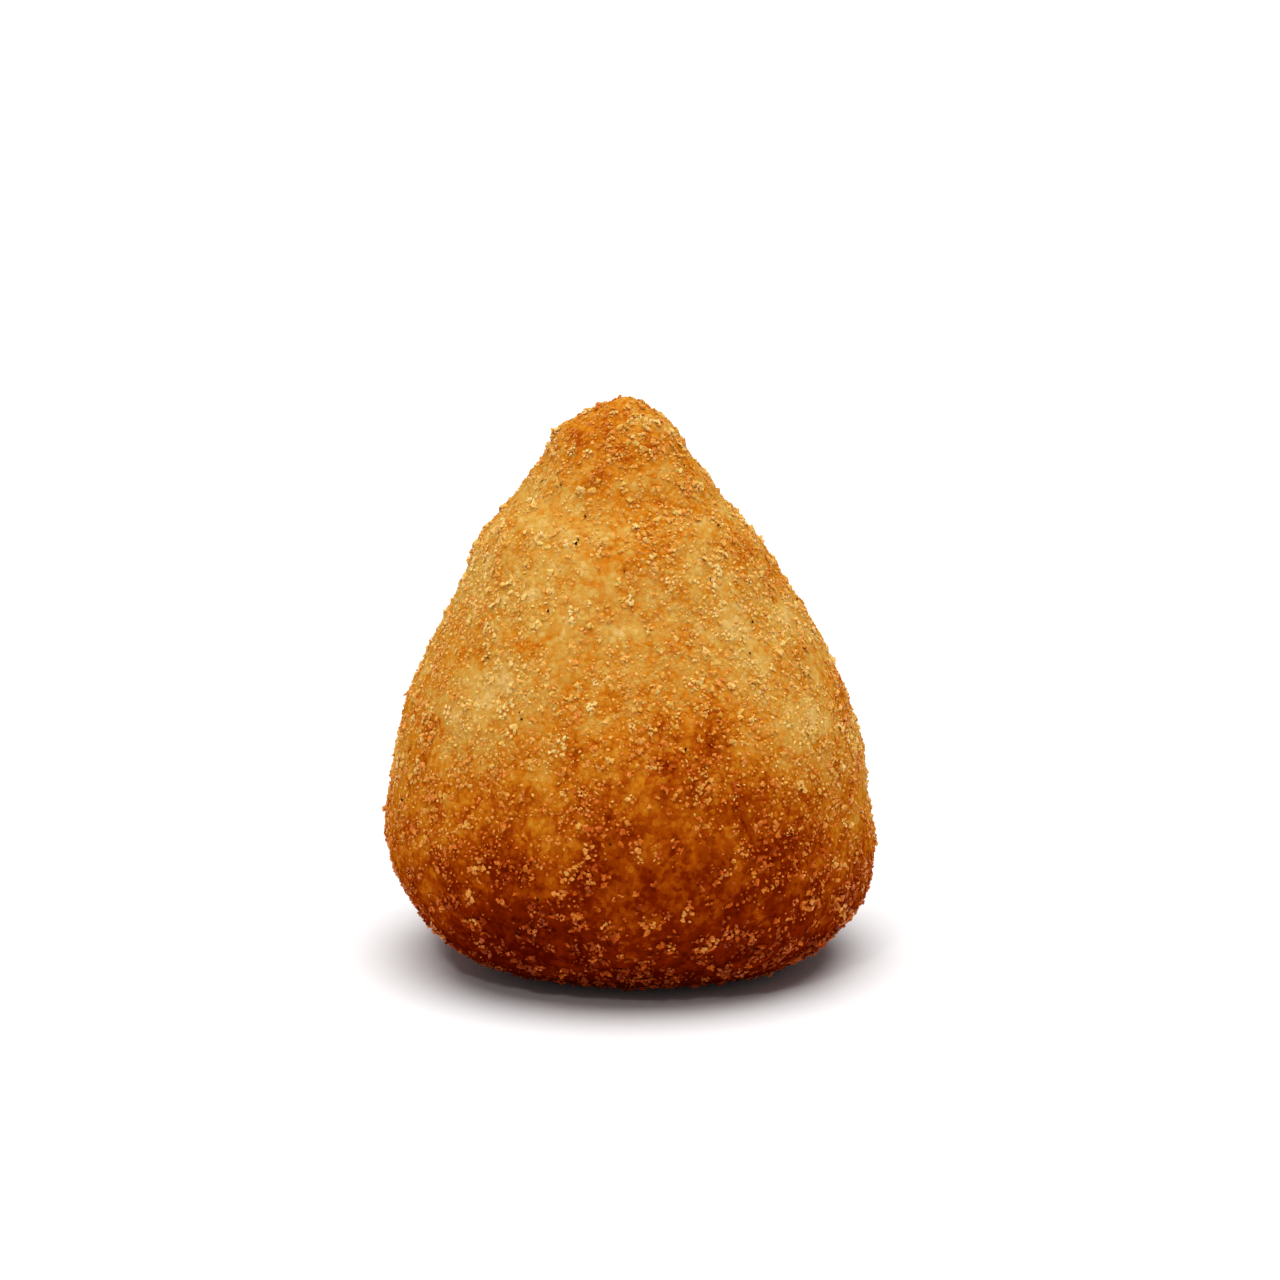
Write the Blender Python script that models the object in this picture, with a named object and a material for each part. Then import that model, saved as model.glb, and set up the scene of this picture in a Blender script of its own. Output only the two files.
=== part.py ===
"""One arancino of the pointed kind: rice packed round a filling, coated in breadcrumbs and deep-fried.

It stands upright on the flat spot that it rests on, with its tip up. The side that faces -Y is the front.
The food is one piece, so it is one solid: a teardrop body with the larger crumbs of its coat fused on.
Run it with: blender --background --python part.py
"""

import math
import random

import bmesh
import bpy
import numpy as np
from mathutils import Matrix, Vector, noise

MM = 0.001

# The teardrop under its larger crumbs
HEIGHT = 83.8 * MM
FOOT_RADIUS = 12.5 * MM
BELLY_RADIUS, BELLY_HEIGHT = 36.0 * MM, 20.0 * MM
ROUNDNESS = 2.2  # of the quarter from foot to belly: 2 is an ellipse, more is squarer
TAPER_START = 1.54  # how long the side keeps the belly's width above it: higher is longer
TAPER_END = 0.76  # how pointed the top is: lower is blunter

# Rings where the hand left the side fuller or slacker than that: height, reach and swell
RINGS = (
    (79.6 * MM, 3.2 * MM, 1.3 * MM),
    (69.5 * MM, 3.5 * MM, -0.8 * MM),
    (56.0 * MM, 5.0 * MM, -0.5 * MM),
    (38.0 * MM, 8.0 * MM, 0.4 * MM),
)

# How far the middle strays to the right (+X) and to the back (+Y): at the foot, up the taper, at the tip
FOOT_SHIFT, FOOT_SHIFT_TO = Vector((1.8 * MM, 0.6 * MM)), 26.0 * MM
TAPER_LEAN, LEAN_FROM, LEAN_TO = Vector((-1.6 * MM, 0.3 * MM)), 42.0 * MM, 74.0 * MM
TIP_SHIFT, TIP_SHIFT_FROM = Vector((1.4 * MM, 0.0)), 78.0 * MM

# The spot that its weight pressed flat, as a square: a solid rests steadily on a few corners well apart
PRESSED_CORNER = 16.6 * MM  # from its middle to a corner
PRESSED_DEPTH, PRESSED_LIFT = 1.3 * MM, 0.3 * MM  # its whole depth, and how far it lifts the body

# The hand-shaped unevenness of the body
LOBE_SIZE, LOBE_HEIGHT = 24.0 * MM, 0.8 * MM
LUMP_SIZE, LUMP_HEIGHT = 7.5 * MM, 0.5 * MM
UNEVEN_FROM = 2.0 * MM  # the unevenness fades in over this height, so that the foot stays flat
BLUNT_FROM = 2.5 * MM  # near the tip it fades out below this radius

# The coat's small crumbs, as bumps of their size all over the skin
BUMP_SIZE, BUMP_HEIGHT = 1.7 * MM, 0.75 * MM

# Places where the body swells or dips: degrees round from the right (+X), height, reach and swell
SWELLS = (
    (178, 64.0 * MM, 3.5 * MM, 0.6 * MM),
    (182, 40.0 * MM, 11.0 * MM, 0.7 * MM),
    (0, 53.0 * MM, 9.0 * MM, 0.8 * MM),
    (358, 27.0 * MM, 9.0 * MM, 0.4 * MM),
    (355, 8.5 * MM, 8.0 * MM, 1.4 * MM),  # the right side bulges just above the foot
    (182, 79.8 * MM, 3.0 * MM, 0.7 * MM),  # the shoulder left of the tip
    (268, 46.0 * MM, 14.0 * MM, -0.6 * MM),  # a shallow dip in the front
    (216, 4.5 * MM, 10.0 * MM, 1.8 * MM),  # and it is broad on both sides of the foot's front
    (322, 4.0 * MM, 10.0 * MM, 1.6 * MM),
    (100, 30.0 * MM, 15.0 * MM, -0.6 * MM),
)

# The coat's larger crumbs
SEED = 7
CRUMB_COUNT = 160
TIP_CRUMB_COUNT, TIP_SHARE = 12, 0.012
CRUMB_WIDTH = (1.7 * MM, 3.2 * MM)
CRUMB_THICKNESS = (0.55, 0.85)  # a share of the crumb's width
CRUMB_SUNK = 0.2  # how far a crumb's middle lies under the surface, as a share of its thickness
CRUMB_CHIPPING = 0.12  # how far a crumb's corners stray, as a share of its width
CRUMB_SIDES = (3, 4)
CRUMB_TOP = 0.75  # the width of a crumb's top, as a share of its foot
CRUMB_CLEARANCE = 0.9 * MM  # from the lowest crumb to the body's underside

SKIN_CUTS = 17  # cuts in each edge of the icosahedron that the body is made from
CRUST_COLOUR = (0.54, 0.21, 0.03, 1.0)
GOLDEN_ANGLE = math.pi * (3.0 - math.sqrt(5.0))
OUTLINE_STEPS = 500


# Form of the body

def smooth_step(value, low, high):
    share = min(1.0, max(0.0, (value - low) / (high - low)))
    return share * share * (3.0 - 2.0 * share)


def side_radius(height):
    """The teardrop's radius at a height: a rounded quarter from foot to belly, the taper, and the rings."""
    if height < BELLY_HEIGHT:
        below = 1.0 - height / BELLY_HEIGHT
        radius = FOOT_RADIUS + (BELLY_RADIUS - FOOT_RADIUS) * (1.0 - below**ROUNDNESS) ** (1.0 / ROUNDNESS)
    else:
        along = min(1.0, (height - BELLY_HEIGHT) / (HEIGHT - BELLY_HEIGHT))
        radius = BELLY_RADIUS * (1.0 - along**TAPER_START) ** TAPER_END
    fullness = min(1.0, radius / BLUNT_FROM)
    for middle, reach, swell in RINGS:
        radius += fullness * swell * math.exp(-(((height - middle) / reach) ** 2))
    return radius


def middle_at(height):
    """How far the body's middle has strayed at a height."""
    stray = FOOT_SHIFT * (1.0 - smooth_step(height, 0.0, FOOT_SHIFT_TO))
    stray += TAPER_LEAN * smooth_step(height, LEAN_FROM, LEAN_TO)
    return stray + TIP_SHIFT * smooth_step(height, TIP_SHIFT_FROM, HEIGHT)


def outline_table():
    """Radius and height from the foot's centre to the tip, by the share of the skin that is below."""
    radii = [FOOT_RADIUS * step / OUTLINE_STEPS for step in range(OUTLINE_STEPS)]
    heights = [0.0] * OUTLINE_STEPS
    for step in range(OUTLINE_STEPS + 1):
        height = HEIGHT * (1.0 - math.cos(math.pi * step / OUTLINE_STEPS)) / 2.0
        heights.append(height)
        radii.append(side_radius(height))
    lengths = np.hypot(np.diff(radii), np.diff(heights))
    middles = (np.array(radii[1:]) + np.array(radii[:-1])) / 2.0
    area = np.concatenate(([0.0], np.cumsum(middles * lengths)))
    return area / area[-1], radii, heights


SHARES, RADII, HEIGHTS = outline_table()
FOOT_SHARE = float(SHARES[OUTLINE_STEPS])


def swell_at(azimuth, height, radius):
    """How far the named swells and dips move the side at this place."""
    total = 0.0
    for degrees, middle, reach, swell in SWELLS:
        turn = (azimuth - math.radians(degrees) + math.pi) % math.tau - math.pi
        away = math.hypot(turn * max(radius, reach), height - middle) / reach
        total += swell * math.exp(-away * away)
    return total


def skin_point(share, azimuth):
    """A point of the uneven skin. Equal steps of share are equal areas of skin."""
    radius = float(np.interp(share, SHARES, RADII))
    height = float(np.interp(share, SHARES, HEIGHTS))
    outward = Vector((math.cos(azimuth), math.sin(azimuth), 0.0))
    place = outward * radius + Vector((0.0, 0.0, height))
    unevenness = LOBE_HEIGHT * noise.noise(place / LOBE_SIZE)
    unevenness += LUMP_HEIGHT * noise.noise(place / LUMP_SIZE)
    unevenness += BUMP_HEIGHT * (noise.cell(place / BUMP_SIZE) - 0.5)
    unevenness += swell_at(azimuth, height, radius)
    unevenness *= smooth_step(height, 0.0, UNEVEN_FROM) * min(1.0, radius / BLUNT_FROM)
    return place + outward * unevenness + middle_at(height).to_3d()


def skin_normal(share, azimuth):
    """The outward direction at a point of the skin, from two short steps along it."""
    step = 0.004
    up = skin_point(min(1.0, share + step), azimuth) - skin_point(max(0.0, share - step), azimuth)
    turn = skin_point(share, azimuth + step) - skin_point(share, azimuth - step)
    return turn.cross(up).normalized()


def make_body(collection):
    """The teardrop, from an icosphere whose points are moved onto the skin at equal shares of its area."""
    mesh = bmesh.new()
    bmesh.ops.create_icosphere(mesh, subdivisions=1, radius=1.0)
    bmesh.ops.subdivide_edges(mesh, edges=mesh.edges, cuts=SKIN_CUTS, use_grid_fill=True)
    bmesh.ops.triangulate(mesh, faces=mesh.faces)
    for vertex in mesh.verts:
        share = (vertex.co.normalized().z + 1.0) / 2.0
        vertex.co = skin_point(share, math.atan2(vertex.co.y, vertex.co.x))
    return finished(mesh, "arancino", collection)


def make_pressed_spot(collection):
    """The low square block that the body stands on, sunk into it but for the lift."""
    mesh = bmesh.new()
    bmesh.ops.create_cone(mesh, cap_ends=True, segments=4, radius1=PRESSED_CORNER, radius2=PRESSED_CORNER,
                          depth=PRESSED_DEPTH)
    middle = middle_at(0.0).to_3d() + Vector((0.0, 0.0, PRESSED_DEPTH / 2.0 - PRESSED_LIFT))
    mesh.transform(Matrix.Translation(middle) @ Matrix.Rotation(math.pi / 4.0, 4, "Z"))
    bmesh.ops.triangulate(mesh, faces=mesh.faces)
    return finished(mesh, "pressed_spot", collection)


# Crumbs of the coat

def crumb_shape(random_draw, width):
    """One angular crumb round the origin: a few-sided stump with strayed corners, its broader end down."""
    thickness = width * random_draw.uniform(*CRUMB_THICKNESS)
    stray = CRUMB_CHIPPING * width
    mesh = bmesh.new()
    bmesh.ops.create_cone(mesh, cap_ends=True, segments=random_draw.choice(CRUMB_SIDES), radius1=width * 0.6,
                          radius2=width * 0.6 * CRUMB_TOP, depth=thickness)
    for vertex in mesh.verts:
        vertex.co += Vector([random_draw.uniform(-stray, stray) for _ in range(3)])
    bmesh.ops.triangulate(mesh, faces=mesh.faces)
    return mesh, thickness


def lay_crumb(mesh, place, normal, turn, name, collection):
    """Lays a crumb at its place, unless it would reach down to the body's underside."""
    tilt = normal.to_track_quat("Z", "Y").to_matrix().to_4x4()
    mesh.transform(Matrix.Translation(place) @ tilt @ Matrix.Rotation(turn, 4, "Z"))
    if min(vertex.co.z for vertex in mesh.verts) < CRUMB_CLEARANCE:
        mesh.free()
        return None
    return finished(mesh, name, collection)


def crumb_places(random_draw):
    """Where the crumbs lie, as share and azimuth: spread evenly over the side, then a clump on the tip."""
    for number in range(CRUMB_COUNT):
        share = FOOT_SHARE + (1.0 - FOOT_SHARE) * (number + random_draw.uniform(0.2, 0.8)) / CRUMB_COUNT
        yield share, number * GOLDEN_ANGLE + random_draw.uniform(-0.05, 0.05)
    for number in range(TIP_CRUMB_COUNT):
        yield 1.0 - TIP_SHARE * (number + 0.5) / TIP_CRUMB_COUNT, number * GOLDEN_ANGLE


def make_crumbs(collection):
    random_draw = random.Random(SEED)
    for number, (share, azimuth) in enumerate(crumb_places(random_draw)):
        mesh, thickness = crumb_shape(random_draw, random_draw.uniform(*CRUMB_WIDTH))
        normal = skin_normal(share, azimuth)
        place = skin_point(share, azimuth) - normal * thickness * CRUMB_SUNK
        lay_crumb(mesh, place, normal, random_draw.uniform(0.0, math.tau), f"crumb_{number:03d}", collection)


# Building

def clear_scene():
    for old in list(bpy.data.objects):
        bpy.data.objects.remove(old)


def new_collection(name):
    collection = bpy.data.collections.new(name)
    bpy.context.scene.collection.children.link(collection)
    return collection


def finished(mesh, name, collection):
    """The bmesh as a named object of the collection."""
    data = bpy.data.meshes.new(name)
    mesh.to_mesh(data)
    mesh.free()
    piece = bpy.data.objects.new(name, data)
    collection.objects.link(piece)
    return piece


def fried_crust():
    """Breadcrumb crust, deep-fried to a golden brown."""
    material = bpy.data.materials.new("fried_crust")
    material.use_nodes = True
    shader = material.node_tree.nodes["Principled BSDF"]
    shader.inputs["Base Color"].default_value = CRUST_COLOUR
    shader.inputs["Roughness"].default_value = 0.5
    shader.inputs["Metallic"].default_value = 0.0
    return material


def fuse(body, crumbs):
    """One Boolean union joins all the crumbs to the body. It is applied, and the crumbs are removed."""
    union = body.modifiers.new("fuse_crumbs", "BOOLEAN")
    union.operation = "UNION"
    union.operand_type = "COLLECTION"
    union.collection = crumbs
    union.solver = "MANIFOLD"
    graph = bpy.context.evaluated_depsgraph_get()
    joined = bpy.data.meshes.new_from_object(body.evaluated_get(graph))
    body.modifiers.clear()
    body.data = joined
    for crumb in list(crumbs.objects):
        bpy.data.objects.remove(crumb)
    bpy.data.collections.remove(crumbs)


def keep_outer_skin(body):
    """Fills any pocket of air that crumbs close in: only the skin that the foot belongs to is kept."""
    mesh = bmesh.new()
    mesh.from_mesh(body.data)
    reached = {min(mesh.verts, key=lambda vertex: vertex.co.z)}
    front = list(reached)
    while front:
        vertex = front.pop()
        for edge in vertex.link_edges:
            other = edge.other_vert(vertex)
            if other not in reached:
                reached.add(other)
                front.append(other)
    bmesh.ops.delete(mesh, geom=[vertex for vertex in mesh.verts if vertex not in reached], context="VERTS")
    mesh.to_mesh(body.data)
    mesh.free()


def stand_on_origin(body):
    """Puts the middle of the body's box over the origin, with the foot at height 0."""
    points = np.array([vertex.co for vertex in body.data.vertices])
    middle = (points.min(axis=0) + points.max(axis=0)) / 2.0
    body.data.transform(Matrix.Translation((-middle[0], -middle[1], -points[:, 2].min())))


def build():
    clear_scene()
    food = new_collection("arancino")
    coat = new_collection("crumbs")
    body = make_body(food)
    make_crumbs(coat)
    make_pressed_spot(coat)
    fuse(body, coat)
    keep_outer_skin(body)
    stand_on_origin(body)
    body.data.materials.clear()
    body.data.materials.append(fried_crust())


build()
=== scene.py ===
"""One arancino of the pointed kind on a pale floor: its fried crust, its crumbs, the camera and lights."""

import math
import random

import bmesh
import bpy
import numpy as np
from mathutils import Euler, Matrix, Vector, noise


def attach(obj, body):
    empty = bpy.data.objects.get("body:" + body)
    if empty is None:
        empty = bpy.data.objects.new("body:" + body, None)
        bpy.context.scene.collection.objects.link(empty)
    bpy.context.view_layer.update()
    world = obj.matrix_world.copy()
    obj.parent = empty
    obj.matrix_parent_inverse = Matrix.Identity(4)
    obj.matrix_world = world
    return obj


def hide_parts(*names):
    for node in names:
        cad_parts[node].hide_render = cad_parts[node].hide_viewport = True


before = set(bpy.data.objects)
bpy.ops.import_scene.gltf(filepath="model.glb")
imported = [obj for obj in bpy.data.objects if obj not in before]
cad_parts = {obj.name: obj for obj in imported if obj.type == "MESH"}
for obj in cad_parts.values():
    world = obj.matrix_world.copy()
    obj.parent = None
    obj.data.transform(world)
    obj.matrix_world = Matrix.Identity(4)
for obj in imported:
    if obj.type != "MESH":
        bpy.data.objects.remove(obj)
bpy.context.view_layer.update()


# The crust. Cooked rice is pressed round a filling into a teardrop, dipped in batter, rolled in breadcrumbs
# and deep-fried standing up. What shows between the larger crumbs is one continuous skin: a gold one where
# the batter lies bare, and a darker one near the foot, partly browned where the oil was hottest and partly
# painted shade of the underside, which faces away from the light.

MM = 0.001
HEIGHT = 83.8 * MM
FOOT_RADIUS = 12.5 * MM
BELLY_RADIUS, BELLY_HEIGHT = 36.0 * MM, 20.0 * MM
ROUNDNESS = 2.2  # of the quarter from foot to belly
TAPER_START, TAPER_END = 1.54, 0.76  # powers: how late the taper sets in, and how blunt it ends

# Rings where the side is fuller or slacker than the plain taper: height, reach and swell
RINGS = (
    (79.6 * MM, 3.2 * MM, 1.3 * MM),
    (69.5 * MM, 3.5 * MM, -0.8 * MM),
    (56.0 * MM, 5.0 * MM, -0.5 * MM),
    (38.0 * MM, 8.0 * MM, 0.4 * MM),
)

# How far the middle strays at the foot, up the taper and at the tip
FOOT_SHIFT, FOOT_SHIFT_TO = Vector((1.8 * MM, 0.6 * MM)), 26.0 * MM
TAPER_LEAN, LEAN_FROM, LEAN_TO = Vector((-1.6 * MM, 0.3 * MM)), 42.0 * MM, 74.0 * MM
TIP_SHIFT, TIP_SHIFT_FROM = Vector((1.4 * MM, 0.0)), 78.0 * MM

LOBE_SIZE, LOBE_HEIGHT = 24.0 * MM, 0.8 * MM
LUMP_SIZE, LUMP_HEIGHT = 7.5 * MM, 0.5 * MM
UNEVEN_FROM, BLUNT_FROM = 2.0 * MM, 2.5 * MM

# Places where the body swells or dips: degrees round from the right, height, reach and swell
SWELLS = (
    (178, 64.0 * MM, 3.5 * MM, 0.6 * MM),
    (182, 40.0 * MM, 11.0 * MM, 0.7 * MM),
    (0, 53.0 * MM, 9.0 * MM, 0.8 * MM),
    (358, 27.0 * MM, 9.0 * MM, 0.4 * MM),
    (355, 8.5 * MM, 8.0 * MM, 1.4 * MM),
    (182, 79.8 * MM, 3.0 * MM, 0.7 * MM),
    (268, 46.0 * MM, 14.0 * MM, -0.6 * MM),
    (216, 4.5 * MM, 10.0 * MM, 1.8 * MM),
    (322, 4.0 * MM, 10.0 * MM, 1.6 * MM),
    (100, 30.0 * MM, 15.0 * MM, -0.6 * MM),
)
BOX_SHIFT = Vector((-0.36 * MM, -0.33 * MM, 0.0))  # puts the middle of the body's box over the origin
STANDS_HIGHER, STANDS_FROM = 0.3 * MM, 6.0 * MM  # the solid stands on a spot that lifts it by this
SKIN_CUTS = 89  # cuts in each edge of the icosahedron: a face is then about half a millimetre wide
OUTLINE_STEPS = 500


def smooth_step(value, low, high):
    share = min(1.0, max(0.0, (value - low) / (high - low)))
    return share * share * (3.0 - 2.0 * share)


def side_radius(height):
    """The teardrop's radius at a height: a rounded quarter from foot to belly, the taper, and the rings."""
    if height < BELLY_HEIGHT:
        below = 1.0 - height / BELLY_HEIGHT
        radius = FOOT_RADIUS + (BELLY_RADIUS - FOOT_RADIUS) * (1.0 - below**ROUNDNESS) ** (1.0 / ROUNDNESS)
    else:
        along = min(1.0, (height - BELLY_HEIGHT) / (HEIGHT - BELLY_HEIGHT))
        radius = BELLY_RADIUS * (1.0 - along**TAPER_START) ** TAPER_END
    fullness = min(1.0, radius / BLUNT_FROM)
    for middle, reach, swell in RINGS:
        radius += fullness * swell * math.exp(-(((height - middle) / reach) ** 2))
    return radius


def middle_at(height):
    """How far the body's middle has strayed at a height."""
    stray = FOOT_SHIFT * (1.0 - smooth_step(height, 0.0, FOOT_SHIFT_TO))
    stray += TAPER_LEAN * smooth_step(height, LEAN_FROM, LEAN_TO)
    return stray + TIP_SHIFT * smooth_step(height, TIP_SHIFT_FROM, HEIGHT)


def outline_table():
    """Radius and height from the foot's centre to the tip, by the share of the skin that is below."""
    radii = [FOOT_RADIUS * step / OUTLINE_STEPS for step in range(OUTLINE_STEPS)]
    heights = [0.0] * OUTLINE_STEPS
    for step in range(OUTLINE_STEPS + 1):
        height = HEIGHT * (1.0 - math.cos(math.pi * step / OUTLINE_STEPS)) / 2.0
        heights.append(height)
        radii.append(side_radius(height))
    lengths = np.hypot(np.diff(radii), np.diff(heights))
    middles = (np.array(radii[1:]) + np.array(radii[:-1])) / 2.0
    area = np.concatenate(([0.0], np.cumsum(middles * lengths)))
    return area / area[-1], radii, heights


SHARES, RADII, HEIGHTS = outline_table()


def swell_at(azimuth, height, radius):
    """How far the named swells and dips move the side at this place."""
    total = 0.0
    for degrees, middle, reach, swell in SWELLS:
        turn = (azimuth - math.radians(degrees) + math.pi) % math.tau - math.pi
        away = math.hypot(turn * max(radius, reach), height - middle) / reach
        total += swell * math.exp(-away * away)
    return total


def skin_point(share, azimuth):
    """A point of the uneven skin. Equal steps of share are equal areas of skin."""
    radius = float(np.interp(share, SHARES, RADII))
    height = float(np.interp(share, SHARES, HEIGHTS))
    outward = Vector((math.cos(azimuth), math.sin(azimuth), 0.0))
    place = outward * radius + Vector((0.0, 0.0, height))
    unevenness = LOBE_HEIGHT * noise.noise(place / LOBE_SIZE)
    unevenness += LUMP_HEIGHT * noise.noise(place / LUMP_SIZE)
    unevenness += swell_at(azimuth, height, radius)
    unevenness *= smooth_step(height, 0.0, UNEVEN_FROM) * min(1.0, radius / BLUNT_FROM)
    lift = Vector((0.0, 0.0, STANDS_HIGHER * smooth_step(height, 0.0, STANDS_FROM)))
    return place + outward * unevenness + middle_at(height).to_3d() + BOX_SHIFT + lift


# How brown the crust is, painted shade included, from 0 to 1. It is palest at mid height, darkens evenly down
# to the foot, and a little towards the tip. The darkening towards the foot is partly browning and partly
# painted shade of the underside. The dark reaches higher in front and behind than at the two sides.
PALEST_BROWNING = 0.2
FOOT_BROWNING_AND_SHADE, PALE_FROM = 0.85, 50.0 * MM
TIP_BROWNING, TIP_BROWNING_FROM = 0.08, 64.0 * MM
SIDES_LATER, SIDES_LATER_FROM = 15.0 * MM, 22.0 * MM
BROWNING_PATCH, BROWNING_STRAY = 9.0 * MM, 0.12
BLOTCH, BLOTCH_STRAY = 3.4 * MM, 0.12
BLOTCH_PLACE = Vector((9.0, 9.0, 9.0))  # in the noise, so that the blotches don't follow the patches

# How densely the crumbs lie, from 0 to 1. Fewer stuck low down, and in patches the batter lies bare.
FULL_COAT, LOW_COAT, LOW_COAT_FROM, LOW_COAT_TO = 0.85, 0.33, 14.0 * MM, 36.0 * MM
COAT_PATCH, COAT_STRAY = 4.0 * MM, 0.9
COAT_PLACE = Vector((5.0, 5.0, 5.0))  # in the noise, so that the coat doesn't follow the browning
LEAST_COAT = 0.05

# How many clumps of crumbs lie at a place: many low down and round the tip, few between. The crumbs hang
# together in ragged strings that run down the side.
FEW_CLUMPS, LOW_CLUMPS_TO, LOW_CLUMPS_FULL, TIP_CLUMPS_FROM = 0.3, 36.0 * MM, 20.0 * MM, 62.0 * MM
STRING_WIDTH, STRING_LENGTH = 1.8 * MM, 3.4 * MM
STRING_EDGE, STRING_CORE = 0.0, 0.22  # of the noise, where the strings begin and are full

# Patches of the front that differ from the rest: right and up from the foot's middle, reach, and how much
# browner and more densely coated they are
FRONT_PATCHES = (
    (-14.8 * MM, 67.5 * MM, 5.0 * MM, -0.08, -0.25),
    (-24.0 * MM, 46.0 * MM, 6.0 * MM, -0.08, -0.25),
    (-9.0 * MM, 69.0 * MM, 4.0 * MM, 0.0, -0.25),
    (-6.0 * MM, 57.0 * MM, 7.0 * MM, -0.02, -0.30),
    (14.0 * MM, 54.5 * MM, 4.0 * MM, -0.04, -0.25),
    (6.0 * MM, 61.0 * MM, 4.0 * MM, -0.12, 0.0),
    (-21.0 * MM, 42.0 * MM, 6.0 * MM, -0.10, 0.0),
    (11.0 * MM, 39.0 * MM, 4.0 * MM, 0.12, 0.0),
    (21.0 * MM, 51.0 * MM, 4.0 * MM, -0.08, 0.0),
    (33.0 * MM, 41.0 * MM, 5.0 * MM, 0.30, 0.0),
    (21.0 * MM, 25.0 * MM, 5.0 * MM, 0.16, 0.0),
    (-33.0 * MM, 38.0 * MM, 5.0 * MM, 0.14, 0.0),
    (-27.0 * MM, 46.0 * MM, 5.0 * MM, 0.14, 0.0),
    (3.0 * MM, 54.0 * MM, 3.0 * MM, 0.08, 0.0),
    (3.0 * MM, 68.0 * MM, 5.0 * MM, 0.08, 0.0),
    (-9.0 * MM, 50.0 * MM, 4.0 * MM, 0.10, 0.0),
    (18.0 * MM, 60.0 * MM, 5.0 * MM, 0.08, 0.20),
    (-22.0 * MM, 60.0 * MM, 4.0 * MM, -0.08, 0.20),
    (-26.0 * MM, 51.0 * MM, 4.0 * MM, 0.0, 0.20),
    (3.0 * MM, 46.0 * MM, 8.0 * MM, 0.06, 0.10),
    (26.0 * MM, 36.0 * MM, 6.0 * MM, -0.13, 0.0),
    (16.0 * MM, 32.0 * MM, 5.0 * MM, 0.12, 0.0),
    (-9.0 * MM, 29.0 * MM, 4.0 * MM, -0.09, 0.0),
    (33.0 * MM, 25.0 * MM, 5.0 * MM, -0.06, 0.0),
    (4.5 * MM, 22.0 * MM, 6.5 * MM, 0.05, -0.8),
    (0.0 * MM, 15.0 * MM, 5.0 * MM, -0.10, 0.0),
    (-3.0 * MM, 63.0 * MM, 4.0 * MM, 0.08, 0.0),
    (-5.0 * MM, 43.0 * MM, 5.0 * MM, -0.10, 0.0),
    (-18.0 * MM, 12.5 * MM, 7.0 * MM, 0.20, -0.30),
    (4.0 * MM, 32.0 * MM, 5.0 * MM, 0.08, 0.0),
    (3.0 * MM, 77.5 * MM, 1.3 * MM, 0.22, 0.0),
    (-7.4 * MM, 79.0 * MM, 1.5 * MM, 0.18, 0.0),
    (31.0 * MM, 37.5 * MM, 0.8 * MM, 0.30, 0.0),
)


def fried_how(place):
    """How brown the crust is at a place with its painted shade, how densely crumbs lie there, and how many
    clumps.
    """
    across = place.x / max(math.hypot(place.x, place.y), MM)
    later = SIDES_LATER * across * across * smooth_step(place.z, 0.0, SIDES_LATER_FROM)
    # Darker towards the foot: partly browning from the oil, partly painted shade of the underside
    towards_foot = min(1.0, max(0.0, 1.0 - (place.z + later) / PALE_FROM))
    browning = PALEST_BROWNING + FOOT_BROWNING_AND_SHADE * towards_foot
    browning += TIP_BROWNING * smooth_step(place.z, TIP_BROWNING_FROM, HEIGHT)
    browning += BROWNING_STRAY * noise.noise(place / BROWNING_PATCH)
    browning += BLOTCH_STRAY * noise.noise(place / BLOTCH + BLOTCH_PLACE)
    coat = LOW_COAT + (FULL_COAT - LOW_COAT) * smooth_step(place.z + later, LOW_COAT_FROM, LOW_COAT_TO)
    coat += COAT_STRAY * noise.noise(place / COAT_PATCH + COAT_PLACE)
    clumping = max(smooth_step(place.z + later, LOW_CLUMPS_TO, LOW_CLUMPS_FULL),
                   smooth_step(place.z, TIP_CLUMPS_FROM, HEIGHT), FEW_CLUMPS)
    string = Vector((place.x / STRING_WIDTH, place.y / STRING_WIDTH, place.z / STRING_LENGTH))
    clumping *= smooth_step(noise.noise(string), STRING_EDGE, STRING_CORE)
    if place.y < 0.0:
        for right, up, reach, browner, denser in FRONT_PATCHES:
            near = math.exp(-((math.hypot(place.x - right, place.z - up) / reach) ** 2))
            browning += browner * near
            coat += denser * near
            clumping *= 1.0 + min(0.0, denser) * near
    return min(1.0, max(0.0, browning)), min(1.0, max(LEAST_COAT, coat)), clumping


def make_skin():
    """The skin as a fine even mesh, with its browning and painted shade, coat and clumping kept on its
    points.
    """
    shaped = bmesh.new()
    bmesh.ops.create_icosphere(shaped, subdivisions=1, radius=1.0)
    bmesh.ops.subdivide_edges(shaped, edges=shaped.edges, cuts=SKIN_CUTS, use_grid_fill=True)
    bmesh.ops.triangulate(shaped, faces=shaped.faces)
    for vertex in shaped.verts:
        share = (vertex.co.normalized().z + 1.0) / 2.0
        vertex.co = skin_point(share, math.atan2(vertex.co.y, vertex.co.x))
    mesh = bpy.data.meshes.new("crust_skin")
    shaped.to_mesh(mesh)
    shaped.free()
    values = np.array([fried_how(vertex.co) for vertex in mesh.vertices])
    for column, name in enumerate(("browning", "coat", "clumping")):
        mesh.attributes.new(name, "FLOAT", "POINT").data.foreach_set("value", values[:, column])
    mesh.shade_smooth()
    piece = bpy.data.objects.new("crust_skin", mesh)
    bpy.context.scene.collection.objects.link(piece)
    return piece


def add_nodes(tree, kinds):
    """New nodes of these kinds in a tree, by the names given here."""
    return {name: tree.nodes.new(kind) for name, kind in kinds.items()}


MEAN_FROM_MIDDLE = 0.45  # the mean distance from a cell's middle in a cell texture, in cells


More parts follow.
